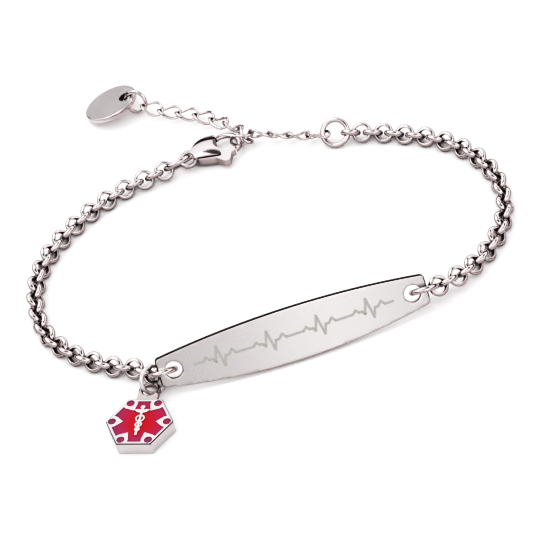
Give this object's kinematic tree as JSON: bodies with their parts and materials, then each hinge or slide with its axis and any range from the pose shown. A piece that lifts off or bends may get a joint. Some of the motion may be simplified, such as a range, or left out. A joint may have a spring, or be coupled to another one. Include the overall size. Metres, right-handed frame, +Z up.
{
  "type": "medical alert bracelet",
  "caption": "Fastened bracelet lying in a loop: bent identity plate, rolo link chains, lobster clasp on a curb extender chain with a round tag, and a hexagonal enamelled medical charm.",
  "frame": {"origin": "centre of the whole piece's footprint, on the table", "axes": "+X along the identity plate, +Y from the plate to the clasp side, +Z up from the table"},
  "size_m": [0.071, 0.0777, 0.0073],
  "materials": {
    "steel": "polished stainless steel",
    "steel_satin": "fine satin stainless steel",
    "enamel": "glossy red enamel"
  },
  "bodies": {
    "bracelet": {"id_plate": "steel_satin", "plate_ring_left": "steel", "plate_ring_right": "steel", "chain_left": "steel", "chain_right": "steel", "charm_ring": "steel", "charm_body": "steel", "enamel_star": "enamel", "enamel_dots": "enamel", "clasp_ring": "steel", "clasp_body": "steel", "clasp_pin": "steel", "extender_ring": "steel", "extender_chain": "steel", "tag_ring": "steel", "tag_disc": "steel_satin"},
    "lever": {"clasp_lever": "steel"}
  },
  "joints": [
    {"name": "lever_hinge", "type": "hinge", "parent": "bracelet", "child": "lever", "pos_m": [-0.00415, 0.0166, 0.0012], "axis": [0, 0, 1], "range_deg": [0, 8], "stiffness_Nm_per_rad": 0.001}
  ]
}
